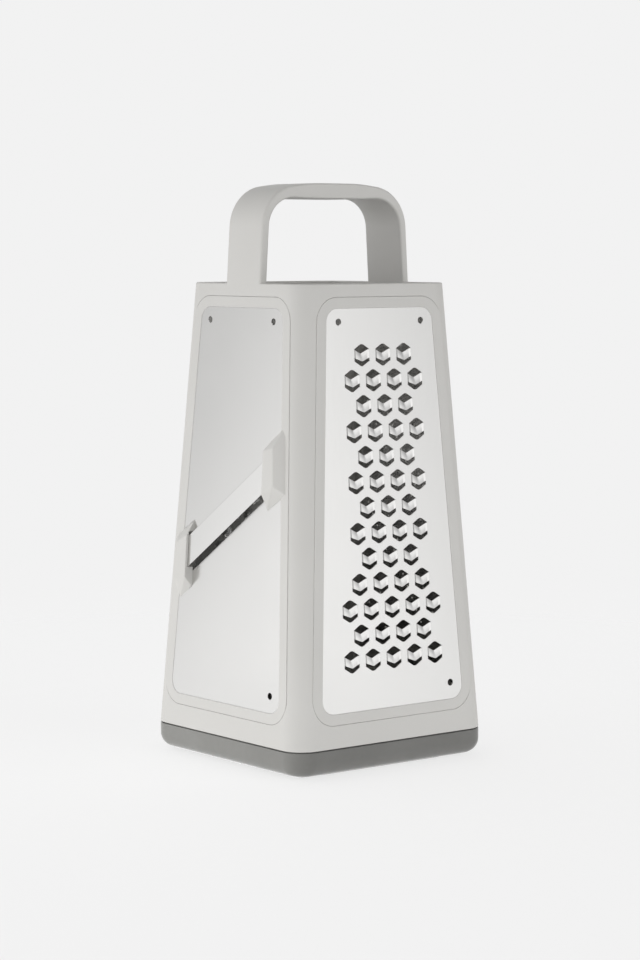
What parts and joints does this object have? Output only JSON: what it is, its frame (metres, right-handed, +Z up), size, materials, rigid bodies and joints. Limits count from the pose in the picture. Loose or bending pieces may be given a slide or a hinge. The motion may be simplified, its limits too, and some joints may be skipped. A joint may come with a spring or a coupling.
{
  "type": "box grater",
  "caption": "Tapered four-sided box grater with a carrying handle, coarse, fine, zest and slicing faces and a soft foot ring.",
  "frame": {"origin": "on the table, under the centre of the foot ring", "axes": "+Z up along the tower, +X across the coarse face to the right, -Y out of the coarse face"},
  "size_m": [0.1066, 0.1066, 0.2503],
  "materials": {
    "shell": "fine matt moulded plastic, warm pale grey",
    "plate_steel": "satin rolled stainless steel",
    "blade_steel": "satin stainless steel with a ground edge",
    "ring_rubber": "matt soft grip rubber, mid grey"
  },
  "bodies": {
    "tower": {"tower_body": "shell", "handle": "shell", "coarse_frame": "shell", "slicer_frame": "shell", "fine_frame": "shell", "zest_frame": "shell", "coarse_plate": "plate_steel", "slicer_plate": "plate_steel", "fine_plate": "plate_steel", "zest_plate": "plate_steel", "slicing_blade": "blade_steel"},
    "ring": {"base_ring": "ring_rubber"}
  },
  "joints": [
    {"name": "ring_pull", "type": "slide", "parent": "tower", "child": "ring", "axis": [0, 0, -1], "range_m": [0, 0.02]}
  ]
}
